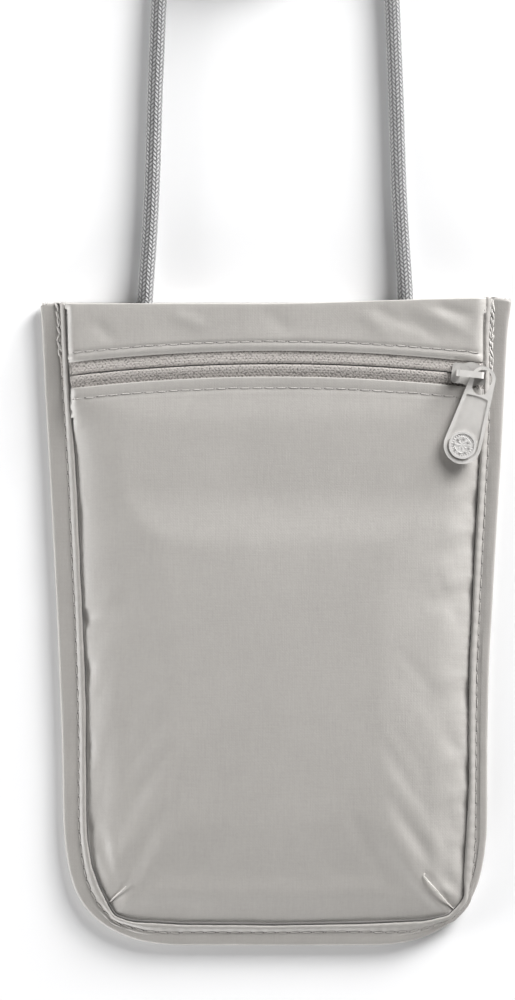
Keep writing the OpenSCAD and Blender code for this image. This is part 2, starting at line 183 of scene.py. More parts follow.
class Nodes:
    """Short ways to make shader nodes in one new material, or in a given world."""

    def __init__(self, name, world=None):
        self.mat = world or bpy.data.materials.new(name)
        self.mat.use_nodes = True
        self.tree = self.mat.node_tree
        self.bsdf = self.tree.nodes.get("Principled BSDF")

    def new(self, kind, **props):
        node = self.tree.nodes.new(kind)
        for key, value in props.items():
            setattr(node, key, value)
        return node

    def link(self, a, b):
        self.tree.links.new(a, b)

    def math(self, op, a, b=0.0, c=0.0):
        node = self.new("ShaderNodeMath", operation=op)
        for i, v in enumerate((a, b, c)):
            if isinstance(v, (int, float)):
                node.inputs[i].default_value = v
            else:
                self.link(v, node.inputs[i])
        return node.outputs[0]

    def mul(self, a, b):
        return self.math("MULTIPLY", a, b)

    def add(self, a, b):
        return self.math("ADD", a, b)

    def sub(self, a, b):
        return self.math("SUBTRACT", a, b)

    def position(self):
        """The point in millimetres in the CAD frame, and its X, Y and Z."""
        coord = self.new("ShaderNodeTexCoord")
        scale = self.new("ShaderNodeVectorMath", operation="SCALE")
        scale.inputs["Scale"].default_value = 1 / MM
        self.link(coord.outputs["Object"], scale.inputs[0])
        split = self.new("ShaderNodeSeparateXYZ")
        self.link(scale.outputs[0], split.inputs[0])
        return scale.outputs[0], split.outputs[0], split.outputs[1], split.outputs[2]

    def stretch(self, vector, scale):
        node = self.new("ShaderNodeVectorMath", operation="MULTIPLY")
        node.inputs[1].default_value = scale
        self.link(vector, node.inputs[0])
        return node.outputs[0]

    def uv(self):
        coord = self.new("ShaderNodeUVMap")
        split = self.new("ShaderNodeSeparateXYZ")
        self.link(coord.outputs[0], split.inputs[0])
        return split.outputs[0], split.outputs[1]

    def noise(self, vector, scale, detail=3.0, rough=0.55):
        node = self.new("ShaderNodeTexNoise")
        node.inputs["Scale"].default_value = scale
        node.inputs["Detail"].default_value = detail
        node.inputs["Roughness"].default_value = rough
        self.link(vector, node.inputs["Vector"])
        return node.outputs["Fac"]

    def wave(self, x, pitch):
        """A sine from -1 to 1 with that pitch."""
        return self.math("SINE", self.mul(x, TAU / pitch))

    def ramp(self, fac, stops):
        node = self.new("ShaderNodeValToRGB")
        ramp = node.color_ramp
        while len(ramp.elements) < len(stops):
            ramp.elements.new(0.5)
        for el, (at, col) in zip(ramp.elements, stops):
            el.position = at
            el.color = (*col, 1)
        self.link(fac, node.inputs[0])
        return node.outputs[0]

    def remap(self, value, a, b, c, d):
        node = self.new("ShaderNodeMapRange")
        for key, v in zip(("From Min", "From Max", "To Min", "To Max"), (a, b, c, d)):
            node.inputs[key].default_value = v
        self.link(value, node.inputs["Value"])
        return node.outputs[0]

    def bump(self, height, strength, distance_mm, normal=None):
        node = self.new("ShaderNodeBump")
        node.inputs["Strength"].default_value = strength
        node.inputs["Distance"].default_value = distance_mm * MM
        self.link(height, node.inputs["Height"])
        if normal is not None:
            self.link(normal, node.inputs["Normal"])
        self.link(node.outputs[0], self.bsdf.inputs["Normal"])
        return node.outputs[0]

    def colour(self, socket):
        self.link(socket, self.bsdf.inputs["Base Color"])

    def rough(self, socket):
        self.link(socket, self.bsdf.inputs["Roughness"])

    def set(self, **values):
        names = {"sheen": "Sheen Weight", "sheen_rough": "Sheen Roughness",
                 "spec": "Specular IOR Level", "coat": "Coat Weight",
                 "coat_rough": "Coat Roughness", "metal": "Metallic"}
        for key, v in values.items():
            self.bsdf.inputs[names[key]].default_value = v


def shade(col, k):
    return tuple(min(1.0, c * k) for c in col)


NYLON_TONES = 0.07  # how far the weave's tone goes either side of its colour


def nylon(name, col, weave=0.42, gloss=0.44):
    """Fine plain-woven nylon: thread crossings, slight slub, and a satin gloss. weave is the
    pitch of the crossings in millimetres."""
    m = Nodes(name)
    pos, x, y, _ = m.position()
    cross = m.mul(m.wave(x, weave), m.wave(y, weave))
    warp = m.noise(m.stretch(pos, (2.6, 0.16, 0.5)), 1.0, 2.0)
    weft = m.noise(m.stretch(pos, (0.16, 2.6, 0.5)), 1.0, 2.0)
    slub = m.add(m.mul(warp, 0.6), m.mul(weft, 0.4))
    cloud = m.noise(pos, 0.06, 3.0)
    grain = m.noise(pos, 1.3, 3.0, 0.7)
    tone = m.add(m.add(m.mul(slub, 0.45), m.mul(cloud, 0.25)), m.mul(grain, 0.3))
    tone = m.add(tone, m.mul(cross, 0.05))
    m.colour(m.ramp(tone, [(0.36, shade(col, 1 - NYLON_TONES)),
                           (0.64, shade(col, 1 + NYLON_TONES))]))
    m.rough(m.remap(slub, 0.3, 0.7, gloss - 0.06, gloss + 0.08))
    base = m.bump(m.add(slub, m.mul(grain, 0.6)), 0.4, 0.12)
    m.bump(cross, 0.3, 0.05, base)
    m.set(sheen=0.35, sheen_rough=0.45, spec=0.7)
    return m.mat


def zip_weave(name, col):
    """Knitted zip tape: staggered knots in rows along the zip, with dark pits between."""
    m = Nodes(name)
    pos, x, y, _ = m.position()
    reach = m.math("SQRT", m.add(m.mul(x, x),
                                  m.math("POWER", m.sub(y, ZIP_CY), 2.0)))
    across = m.sub(reach, ZIP_R)
    wobble = m.mul(m.sub(m.noise(pos, 0.5, 2.0), 0.5), 0.5)
    row = m.add(across, wobble)
    knots = m.mul(m.wave(m.add(x, wobble), 1.1), m.wave(row, 1.25))
    ribs = m.wave(row, 0.75)
    grain = m.noise(pos, 1.9, 3.0, 0.7)
    h = m.add(m.add(m.mul(knots, 0.17), m.mul(ribs, 0.08)), m.mul(grain, 0.95))
    pits = m.noise(m.stretch(pos, (1.0, 1.25, 1.0)), 1.9, 0.0, 0.5)
    dark = m.mul(m.remap(pits, 0.3, 0.44, 1.0, 0.0), 0.4)
    h = m.sub(h, dark)
    # painted shade: a little darker towards the lower tape's far edge, next to the panel's folded
    # edge
    h = m.sub(h, m.remap(across, -3.6, -0.8, 0.12, -0.02))
    m.colour(m.ramp(h, [(0.0, shade(col, 0.45)), (0.4, shade(col, 0.95)),
                        (0.9, shade(col, 1.3))]))
    m.bsdf.inputs["Roughness"].default_value = 0.7
    m.bump(h, 0.8, 0.2)
    m.set(sheen=0.2, spec=0.3)
    return m.mat


def thread_mat(name, col, end_shade=0.1):
    """Twisted thread. u is the distance from a stitch's middle: its ends are darkened with painted
    shade where they dive into their holes."""
    m = Nodes(name)
    u, v = m.uv()
    ply = m.wave(m.add(u, m.mul(v, 0.6)), 0.45)
    end = m.remap(m.math("ABSOLUTE", u), 0.9, 1.3, 1.0, end_shade)
    tone = m.mul(m.math("MULTIPLY_ADD", ply, 0.12, 0.86), end)
    m.colour(m.ramp(tone, [(0.15, shade(col, 0.16)), (0.98, col)]))
    m.bsdf.inputs["Roughness"].default_value = 0.6
    m.bump(ply, 0.6, 0.05)
    m.set(sheen=0.2, spec=0.4)
    return m.mat


CORD_COLUMNS = 12  # columns of slanted strands round the cord, leaning in turns
CORD_PITCH = 1.15  # from one strand to the next in a column, mm
CORD_LEAN = 0.75  # how far a strand leans across its column, in pitches


def braid_mat(name, dark, light):
    """Braid of columns that lean left and right in turn, so that they meet in chevrons.
    u runs along the cord in millimetres and v round it from 0 to 1."""
    m = Nodes(name)
    u, v = m.uv()
    column = m.mul(v, CORD_COLUMNS)
    f = m.math("FRACT", column)
    odd = m.math("FLOORED_MODULO", m.math("FLOOR", column), 2.0)
    lean = m.math("MULTIPLY_ADD", odd, 2.0, -1.0)
    slant = m.mul(m.mul(m.sub(f, 0.5), CORD_LEAN), lean)
    pos = m.position()[0]
    stray = m.mul(m.sub(m.noise(pos, 0.5, 2.0), 0.5), 0.35)
    q = m.add(m.add(m.mul(u, 1 / CORD_PITCH), slant), stray)
    q = m.add(q, m.mul(odd, 0.5))
    strand = m.math("ABSOLUTE", m.math("SINE", m.mul(q, math.pi)))
    round_off = m.math("SINE", m.mul(f, math.pi))
    h = m.mul(m.math("POWER", strand, 0.6), m.math("POWER", round_off, 0.45))
    fibre = m.wave(m.math("FRACT", q), 0.22)
    fuzz = m.noise(pos, 2.2, 3.0, 0.7)
    tone = m.add(h, m.mul(fibre, 0.06))
    tone = m.add(tone, m.math("MULTIPLY_ADD", fuzz, 0.5, -0.25))
    mid = tuple(0.45 * p + 0.55 * q for p, q in zip(dark, light))
    # the grooves between strands go near black with the strands' height: painted shade
    m.colour(m.ramp(tone, [(0.15, dark), (0.6, mid), (1.0, light)]))
    m.bsdf.inputs["Roughness"].default_value = 0.6
    base = m.bump(h, 1.0, 0.35)
    m.bump(fibre, 0.35, 0.06, base)
    m.set(sheen=0.25, spec=0.4)
    return m.mat


def paint(name, col, rough=0.26, grain=0.1, coat=0.9):
    """Painted die-cast metal: slight orange peel, and a tone change where it is handled."""
    m = Nodes(name)
    pos = m.position()[0]
    peel = m.noise(pos, 2.4, 3.0, 0.5)
    cloud = m.noise(pos, 0.35, 2.0)
    m.colour(m.ramp(cloud, [(0.3, shade(col, 0.95)), (0.7, shade(col, 1.04))]))
    m.rough(m.remap(cloud, 0.3, 0.7, rough - 0.05, rough + 0.07))
    m.bump(peel, grain, 0.06)
    m.set(coat=coat, coat_rough=0.1, spec=0.5)
    return m.mat


MEDAL = (51.35, 49.2)  # middle of the pull's medallion


def medallion(name, col):
    """Struck disc: a ring of beads, a ring line and a plain eight-petal rosette."""
    m = Nodes(name)
    pos, x, y, _ = m.position()
    dx, dy = m.sub(x, MEDAL[0]), m.sub(y, MEDAL[1])
    r = m.math("SQRT", m.add(m.mul(dx, dx), m.mul(dy, dy)))
    a = m.math("ARCTAN2", dy, dx)

    def ring(at, width):
        off = m.math("ABSOLUTE", m.sub(r, at))
        return m.remap(off, 0.0, width, 1.0, 0.0)

    beads = m.mul(ring(2.75, 0.3), m.math("SINE", m.mul(a, 26.0)))
    petals = m.mul(ring(1.2, 1.1), m.math("COSINE", m.mul(a, 8.0)))
    relief = m.add(m.add(beads, petals), m.mul(ring(2.2, 0.16), 1.4))
    grain = m.noise(pos, 1.8, 3.0, 0.7)
    relief = m.add(relief, m.mul(grain, 1.2))
    m.colour(m.ramp(m.math("MULTIPLY_ADD", relief, 0.3, 0.4),
                    [(0.1, shade(col, 0.78)), (0.6, col), (0.95, shade(col, 1.1))]))
    m.bsdf.inputs["Roughness"].default_value = 0.36
    m.bump(relief, 0.55, 0.1)
    m.set(coat=0.3, coat_rough=0.15, spec=0.5)
    return m.mat


FABRIC = (0.352, 0.336, 0.317)
BINDING = (0.312, 0.297, 0.280)
mat_panel = nylon("pouch_nylon", FABRIC)
mat_strip = nylon("strip_nylon", FABRIC)
# lighter copy of the panel's nylon for the darts: painted highlight along their folds
mat_dart_highlight = nylon("dart_nylon_painted_highlight", shade(FABRIC, 1.35), gloss=0.35)
# near-black copy of the panel's nylon for the seam's shade line: painted shade
mat_crevice_shade = nylon("crevice_painted_shade", shade(FABRIC, 0.3), gloss=0.7)
mat_back = nylon("back_nylon", shade(FABRIC, 0.97))
mat_binding = nylon("binding_nylon", BINDING, gloss=0.5)
mat_lining = nylon("shield_lining", (0.30, 0.31, 0.33), weave=0.8, gloss=0.35)
mat_zip = zip_weave("zip_tape_weave", (0.36, 0.336, 0.316))
mat_coil = paint("zip_coil_nylon", (0.24, 0.225, 0.21), rough=0.45, coat=0.0)
mat_thread = thread_mat("seam_thread", (0.43, 0.41, 0.39))
mat_tack = thread_mat("backtack_thread", (0.58, 0.56, 0.535), end_shade=0.7)
# the near-black is the painted shade in the braid's grooves
mat_cord = braid_mat("braided_cord", (0.04, 0.04, 0.042), (0.385, 0.385, 0.385))
mat_paint = paint("painted_zip_metal", (0.375, 0.364, 0.35))
# lighter paint for the pull's frame and the slider's bridge: painted highlight on their rims and
# tops
mat_rim_highlight = paint("pull_rim_painted_highlight", (0.56, 0.546, 0.527), rough=0.22)
mat_inlay = paint("pull_inlay_paint", (0.49, 0.475, 0.456), rough=0.42, grain=0.2, coat=0.2)
mat_medal = medallion("medallion_paint", (0.54, 0.528, 0.515))

# ---------------------------------------------------------------- neck cord

CORD_R = 2.2
HEM_X, HEM_Y, HEM_Z = 35.9, 88.8, 3.3
CORD_SIDES = 36
CORD_STEP = 0.38
COIL_Y = 213.0
COIL_R_OUT, COIL_R_IN = 28.0, 19.2
STRAND = [  # left strand from its sewn end to the coil
    (-HEM_X, 79.6, HEM_Z), (-HEM_X, 84, HEM_Z), (-HEM_X, 88, HEM_Z), (-35.75, 92, 3.2),
    (-35.45, 97, 2.85), (-35.1, 102, 2.5), (-34.6, 110, CORD_R), (-34, 122, CORD_R),
    (-33.6, 134, CORD_R), (-33.2, 147, CORD_R), (-32.7, 159, CORD_R), (-32.2, 171, CORD_R),
    (-31.3, 184, CORD_R), (-30.1, 196, CORD_R), (-28.7, 206, CORD_R)]
RIGHT_END_Z = {206: 6.0, 196: 4.3, 184: 2.6}  # the last turn comes down off the coil
TURNS_IN, TURNS_OUT, TURNS_ALL = 2, 4, 4.5  # turn at which each part of the coil ends
POINTS_PER_TURN = 24


def coil_points():
    """Clockwise turns from the left side to the right side: two inwards on the surface,
    two outwards on top of them, and a last half turn."""
    out = []
    for i in range(int(TURNS_ALL * POINTS_PER_TURN) + 1):
        turn = i / POINTS_PER_TURN
        if turn < TURNS_IN:
            r = COIL_R_OUT - (COIL_R_OUT - COIL_R_IN) * turn / TURNS_IN
        elif turn < TURNS_OUT:
            r = COIL_R_IN + (COIL_R_OUT - COIL_R_IN) * (turn - TURNS_IN) / 2
        else:
            r = COIL_R_OUT
        z = CORD_R + 2 * CORD_R * float(smoothstep(1.75, 2.2, turn))
        a = math.pi - TAU * turn
        out.append((r * math.cos(a), COIL_Y + r * math.sin(a), z))
    return out


right = [(-x, y, RIGHT_END_Z.get(y, z)) for x, y, z in STRAND][::-1]
cord_line = catmull(STRAND + coil_points() + right, CORD_STEP)
cord_len = float(np.linalg.norm(np.diff(cord_line, axis=0), axis=1).sum())
verts, _ = tube(cord_line, CORD_R, CORD_SIDES)
# The seam column is doubled so that the braid's pattern closes round the cord
n_ring = len(cord_line)
cols = CORD_SIDES + 1
wide = np.empty((n_ring, cols, 3))
wide[:, :CORD_SIDES] = verts.reshape(n_ring, CORD_SIDES, 3)
wide[:, CORD_SIDES] = wide[:, 0]
along = np.linspace(0, cord_len, n_ring)
cord_uv = np.stack([np.repeat(along, cols), np.tile(np.linspace(0, 1, cols), n_ring)], axis=1)
cord_faces = grid_faces(n_ring, cols) + end_caps(n_ring, cols, CORD_SIDES)


def braid_height(u, v):
    """The same chevrons as the material, as a height from 0 to 1."""
    f = (v * CORD_COLUMNS) % 1
    odd = np.floor(v * CORD_COLUMNS) % 2
    q = u / CORD_PITCH + (f - 0.5) * CORD_LEAN * (2 * odd - 1) + 0.5 * odd
    return np.abs(np.sin(q * math.pi)) ** 0.6 * np.sin(f * math.pi) ** 0.45


h = braid_height(cord_uv[:, 0], cord_uv[:, 1]).reshape(n_ring, cols)
centre = cord_line[:, None, :]
wide = centre + (wide - centre) * (0.95 + 0.07 * h)[:, :, None]
cord = add_mesh("neck_cord_braid", wide.reshape(-1, 3), cord_faces, mat_cord, uv=cord_uv)
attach(cord, "pouch")
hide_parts("neck_cord_left", "neck_cord_right", "neck_cord_coil")

# The coil is held by a strap round all its turns, lapped on top
TIE_HALF = 5.0  # half its width
TIE_THICK = 0.55
TIE_LAP = 0.5
tie_in, tie_out = COIL_Y + COIL_R_IN - 1.4, COIL_Y + COIL_R_OUT + CORD_R + 0.25
tie_loop = catmull([(tie_in + 4, 0.32), (tie_out - 2.2, 0.32), (tie_out - 0.5, 1.0),
                    (tie_out, 2.6), (tie_out, 6.4), (tie_out - 0.7, 8.4), (tie_out - 2.4, 9.15),
                    (tie_in + 8, 9.25), (tie_in + 2.4, 9.15), (tie_in + 0.7, 8.4),
                    (tie_in, 6.4), (tie_in, 2.6), (tie_in + 0.5, 1.0), (tie_in + 4, 0.32)], 0.4)
tie_t = tangents(tie_loop)
tie_n = np.stack([tie_t[:, 1], -tie_t[:, 0]], axis=1)
across = np.array([-1, -0.96, 0, 0.96, 1, 0.96, 0, -0.96]) * TIE_HALF
raised = np.array([0, 1, 1, 1, 0, -1, -1, -1]) * TIE_THICK / 2
round_tie = np.linspace(0, 1, len(tie_loop))
lap = TIE_LAP * smoothstep(0, 0.02, round_tie - 0.48) * (1 - smoothstep(0, 0.02, round_tie - 0.62))
yz = tie_loop[:, None, :] + tie_n[:, None, :] * (raised[None, :, None] + lap[:, None, None])
tie_pts = np.concatenate([np.broadcast_to(across, yz.shape[:2])[:, :, None], yz], axis=2)
tie_pts[:, :, 2] = np.maximum(tie_pts[:, :, 2], 0.03)
tie = add_mesh("cord_tie_strap", tie_pts.reshape(-1, 3), grid_faces(*yz.shape[:2], wrap=True),
               mat_binding)
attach(tie, "pouch")

# ---------------------------------------------------------------- pouch outline

# Half widths down each side as (y, x), then the rounded corner as (x, y)
LEFT_SIDE = [(88.2, 64.9), (80, 64.35), (66, 63.7), (39.6, 62.2), (5, 60.4), (-32, 58.9),
             (-57, 58.5)]
RIGHT_SIDE = [(89.4, 65.3), (80.8, 64.0), (69, 63.4), (47.8, 62.4), (20, 60.7), (-12.7, 58.9),
              (-35, 58.5), (-57, 58.5)]
CORNER = [(57.6, -64.8), (56.2, -71.5), (53.9, -76.6), (50.2, -81.2), (44.7, -85.0),
          (37.5, -87.7), (30, -88.7)]
EDGE_STEP = 1.0


def smooth_line(line, sigma):
    """The line with a Gaussian blur along it. Its ends stay where they are."""
    reach = int(3 * sigma)
    k = np.exp(-0.5 * (np.arange(-reach, reach + 1) / sigma) ** 2)
    k /= k.sum()
    head = 2 * line[0] - line[reach:0:-1]
    tail = 2 * line[-1] - line[-2:-reach - 2:-1]
    full = np.vstack([head, line, tail])
    return np.stack([np.convolve(full[:, i], k, "valid") for i in range(line.shape[1])], axis=1)


edge = [(-x, y) for y, x in LEFT_SIDE] + [(-x, y) for x, y in CORNER] + [(0, -88.8)]
edge += [(x, y) for x, y in CORNER[::-1]] + [(x, y) for y, x in RIGHT_SIDE[::-1]]
edge = smooth_line(resample(np.array(edge, dtype=float), EDGE_STEP), 2.5)
edge_t = tangents(edge)
edge_n = np.stack([-edge_t[:, 1], edge_t[:, 0]], axis=1)
edge_s = lengths_along(edge)

# Inner edge of the binding's lip, all the way round: it is kinked where the panel is darted
LIP_LINE = [(-57.7, 89), (-57.4, 80), (-56.7, 67), (-54.9, 40), (-54.1, 20.3), (-53.4, 6.6),
            (-53.1, -1.7), (-52.6, -11.8), (-52.3, -20.9), (-52.2, -40), (-52.1, -53.2),
            (-51.9, -59.4), (-50.6, -66.9), (-48.9, -71.8), (-46.6, -76.6), (-44.3, -80.6),
            (-39.7, -82.1), (-25, -82.9), (0, -83.1), (23.2, -82.7), (41.4, -81.9),
            (47.1, -80.6), (49.4, -79.6), (52.2, -75.0), (51.9, -69.9), (52.2, -63.8),
            (53.0, -51.7), (53.4, -42.9), (53.2, -32), (53.4, -12.7), (54.0, 0), (54.9, 20),
            (56.0, 40), (57.4, 69), (57.3, 80), (57.8, 90)]
LIP_W = 2.15  # from the seam to the lip's inner edge
lip_fine = smooth_line(resample(np.array(LIP_LINE, dtype=float), 0.4), 2.2)


def width_at(i):
    """How far in from edge point i the lip's inner edge is."""
    to = lip_fine - edge[i]
    ahead = to @ edge_n[i]
    aside = np.abs(to @ edge_t[i])
    aside[(ahead < 2) | (ahead > 14)] = 1e9
    return float(ahead[int(np.argmin(aside))])


edge_w = np.array([width_at(i) for i in range(len(edge))])
edge_seam = np.minimum(smooth_line(edge_w[:, None] - LIP_W, 9)[:, 0], edge_w - 1.6)


def inset_line(d):
    """The edge moved inwards by d, which may vary along it."""
    return edge + edge_n * np.broadcast_to(d, (len(edge),))[:, None]


# ---------------------------------------------------------------- binding

BIND_BACK_Z = 0.4
STITCH_PITCH = 3.3
LIP_Z = 4.0  # usual height of the lip's top
LIP_EXTRA_LEFT, LIP_EXTRA_RIGHT = 0.9, 0.5  # added to it over the ends of the zip's tapes
wave_along = np.array([noise_at(s, 0, 17, 3.1) for s in edge_s])
wave_fine = np.array([noise_at(s, 0, 5.5, 7.7) for s in edge_s])
seam_pull = 0.5 + 0.5 * np.cos(edge_s * TAU / STITCH_PITCH)  # it bulges between stitches


def binding_profile(i):
    """Closed section at edge point i: (distance in from the edge, height)."""
    w, seam = edge_w[i], edge_seam[i]
    puff = 0.1 * wave_along[i] + 0.1 * wave_fine[i]
    lip = LIP_Z + 0.15 * wave_along[i] + 0.16 * (seam_pull[i] - 0.5)
    extra = LIP_EXTRA_RIGHT if edge[i, 0] > 0 else LIP_EXTRA_LEFT
    lip += extra * float(smoothstep(52, 64, edge[i, 1]))
    dip = 3.06 + 0.1 * seam_pull[i]
    lip_in = w + 0.12 * wave_fine[i]
    roll = w - seam
    # on the left it slopes a little to its outer edge, on the right a little up to it
    droop = 0.14 * edge_n[i, 0] * abs(edge_n[i, 0])
    return [
        (w - 0.1, 0.62), (w - 0.5, BIND_BACK_Z), (w * 0.6, BIND_BACK_Z), (1.4, BIND_BACK_Z),
        (0.45, 0.45), (0.1, 0.8), (0.0, 1.45), (0.0, 2.3 - droop / 2), (0.12, 2.8 - droop),
        (0.45, 3.06 + puff / 2 - droop), (1.3, 3.16 + puff - 0.7 * droop),
        (2.4, 3.2 + puff - 0.4 * droop), (seam - 1.2, 3.22 + puff), (seam - 0.45, 3.18),
        (seam, dip), (seam + 0.28, dip + 0.16), (seam + 0.3 * roll, lip - 0.42),
        (seam + 0.48 * roll, lip - 0.12), (seam + 0.7 * roll, lip),
        (lip_in - 0.14 * roll, lip - 0.08), (lip_in - 0.05, lip - 0.42), (lip_in, lip - 0.9),
        (w - 0.15, 2.9), (w - 0.6, 2.65), (seam, 2.62), (1.6, 2.5 - droop / 2),
        (0.72, 2.1 - droop / 2), (0.66, 1.5), (0.95, 1.05), (w * 0.6, 0.95), (w - 0.4, 0.95)]


profiles = np.array([binding_profile(i) for i in range(len(edge))])
n_edge, n_prof = profiles.shape[:2]
bverts = np.empty((n_edge, n_prof, 3))
bverts[:, :, :2] = edge[:, None, :] + edge_n[:, None, :] * profiles[:, :, :1]
bverts[:, :, 2] = profiles[:, :, 1]
bfaces = grid_faces(n_edge, n_prof, wrap=True) + end_caps(n_edge, n_prof)
binding = add_mesh("edge_binding", bverts.reshape(-1, 3), bfaces, mat_binding)
sub = binding.modifiers.new("smooth", "SUBSURF")
sub.levels = sub.render_levels = 1
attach(binding, "pouch")
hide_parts("binding_tape")

# ---------------------------------------------------------------- front panel

SLOT_UP, SLOT_DOWN = 3.8, 3.75  # from the zip's line to the strip and to the panel
PANEL_STEP = 0.8
tuck = inset_line(edge_w - 0.9)  # the panel's and the strip's sewn edge, under the lip
lip_edge = inset_line(edge_w)


def from_zip(x, y):
    """Distance above the zip's line."""
    return np.hypot(x, y - ZIP_CY) - ZIP_R


def distance_to(line, x, y):
    """Distance of each point from a line of points, and the nearest index."""
    best = np.full(np.shape(x), 1e9)
    at = np.zeros(np.shape(x), dtype=int)
    for i in range(len(line)):
        d = np.hypot(x - line[i, 0], y - line[i, 1])
        near = d < best
        best[near], at[near] = d[near], i
    return best, at


def inside_depth(line, x, y):
    """Signed distance inside an open outline: positive towards the pouch's middle."""
    d, at = distance_to(line, x, y)
    side = (x - line[at, 0]) * edge_n[at, 0] + (y - line[at, 1]) * edge_n[at, 1]
    return np.where(side >= 0, d, -d), at


# Small puckers where the panel is gathered into the side seams: (x side, y, size, depth)
PUCKERS = [(-1, 1.0, 3.5, 0.5), (-1, -2.5, 2.6, -0.35), (-1, -13, 4, 0.45), (-1, -57, 4.5, 0.5),
           (1, 34, 4, 0.5), (1, 23, 3.4, 0.4), (1, 9.5, 3.4, 0.45), (1, -18, 4.2, 0.5),
           (1, -40, 4, 0.45), (1, -49, 3.2, 0.4), (-1, 30, 5, 0.25), (1, 50, 5, 0.3),
           (-1, -34, 5, 0.3), (1, -62, 4, 0.35)]
# Darts from the seam into the panel: their lines, with a small hook at the right one's end
DART_LEFT = [(-46.4, -77.6), (-44.6, -75.6), (-42.8, -73.9), (-41.2, -72.2)]
DART_RIGHT = [(49.4, -79.0), (46.9, -76.4), (44.4, -73.4), (42.0, -70.7), (40.9, -69.4),
              (41.0, -68.6)]

# Creases that fan out from the darts, and slack along the bottom: (from, to, width, height)
CREASES = [((-43, -74), (-34, -60), 2.4, -0.14), ((-41, -75), (-28, -70), 2.2, -0.16),
           ((-45, -72), (-41, -58), 2.2, 0.16), ((43, -73), (36, -58), 2.4, -0.28),
           ((41, -75), (27, -71), 2.2, -0.35), ((46, -71), (43, -55), 2.0, 0.35),
           ((-47, -60), (-30, -66), 3, 0.2), ((-20, -80), (12, -78), 2.6, -0.2),
           ((14, -79), (34, -76), 2.2, -0.22), ((-38, -80), (-18, -76), 2.4, -0.22),
           ((-42.5, -73), (-48, -50), 1.3, 0.15), ((-43.5, -74), (-50, -54), 1.1, -0.14),
           ((-41.5, -72), (-45, -52), 1.2, -0.12), ((-45, -73), (-50.5, -60), 0.9, 0.12),
           ((49, 40), (40, 30), 3, -0.15), ((50, 10), (41, 4), 3, -0.2),
           ((-50, 2), (-40, -4), 3, -0.2), ((-49, -14), (-40, -17), 2.6, -0.18)]


def line_distance(x, y, a, b):
    """Distance from the segment a to b, and how far along it from 0 to 1."""
    ax, ay = a
    bx, by = b
    dx, dy = bx - ax, by - ay
    t = ((x - ax) * dx + (y - ay) * dy) / (dx * dx + dy * dy)
    c = np.clip(t, 0, 1)
    return np.hypot(x - ax - c * dx, y - ay - c * dy), t


def crease(x, y, a, b, width, depth, fade=0.35):
    """A soft ridge or valley from a to b that dies away towards both ends."""
    d, t = line_distance(x, y, a, b)
    ends = smoothstep(-0.02, fade, t) * (1 - smoothstep(1 - fade, 1.02, t))
    return depth * np.exp(-(d / width) ** 2) * ends


SIDE_LOW = 2.75  # fabric height under the lip
SIDE_LEAD = 0.6  # a layer near the zip starts to climb this far under the lip
SIDE_LEAST = 0.3  # and is never treated as closer to that start than this
SIDE_RUN = 0.8  # distance over which it climbs
PULL_CLEAR = 7.7  # the pull's underside is at 8


def side_rise(depth):
    """How far a layer near the zip has climbed from under the lip, from 0 to 1."""
    return 1 - np.exp(-np.clip(depth + SIDE_LEAD, SIDE_LEAST, None) / SIDE_RUN)


def wall(depth, slope, top, soft):
    """A straight slope that bends over into a flat top."""
    d = np.clip(depth - 0.1, 0, None) * slope
    return top - soft * np.log1p(np.exp((top - d) / soft)) + soft * math.log1p(
        math.exp(top / soft)) - top


def panel_height(x, y):
    depth, _ = inside_depth(lip_edge, x, y)
    below = -SLOT_DOWN - from_zip(x, y)
    fall = np.clip(below / 146, 0, 1)
    crown = 7.0 + 1.7 * np.sin(math.pi * fall) ** 1.6 - 0.9 * smoothstep(0.68, 0.98, fall)
    z = SIDE_LOW + 0.2 + wall(depth, 0.66, 4.6, 1.3)
    shoulder = 1 - np.exp(-np.clip(depth, 0, None) / 16.0)
    z += (crown - 7.55) * shoulder
    # near the zip the panel is flat on its tape, with a dimple line at the seam
    near = np.exp(-(np.clip(below, 0, None) / 10.0) ** 2)
    z += near * (SIDE_LOW + 4.1 * side_rise(depth) - z)
    z -= 0.25 * np.exp(-((below - 2.85) / 0.55) ** 2) * smoothstep(0, 2, depth)
    # it is pushed up against the zip's pull
    under = np.exp(-((x - 50) / 6.5) ** 2) * smoothstep(37, 47, y) * (1 - smoothstep(59, 66, y))
    climb = 1 - np.exp(-np.clip(depth, 0, None) / 1.9)
    lifted = SIDE_LOW + (PULL_CLEAR - 0.15 - SIDE_LOW) * climb
    z += under * np.clip(lifted - z, 0, None)
    # gathered sides
    for side, py, size, amount in PUCKERS:
        reach = np.exp(-np.clip(depth, 0, None) / 4.5)
        slant = y + side * 0.35 * depth
        pk = np.exp(-((slant - py) / size) ** 2)
        pk -= 0.6 * np.exp(-((slant - py - size) / (0.6 * size)) ** 2)
        z -= 1.5 * amount * pk * reach * (np.sign(x) == side) * smoothstep(-0.5, 1.0, depth)
    for dart in (DART_LEFT, DART_RIGHT):
        a, b = dart[0], dart[-2]
        d, t = line_distance(x, y, a, b)
        run = 1 - smoothstep(0.8, 1.15, t)
        z -= 0.18 * np.exp(-(d / 0.8) ** 2) * run
        z += 0.14 * np.exp(-((d - 2.4) / 1.5) ** 2) * run
    for a, b, width, amount in CREASES:
        z += crease(x, y, a, b, width, amount)
    z += (0.25 * noise_field(x, y, 38, 1.3) + 0.06 * noise_field(x, y, 12, 5.2)) * shoulder
    return z


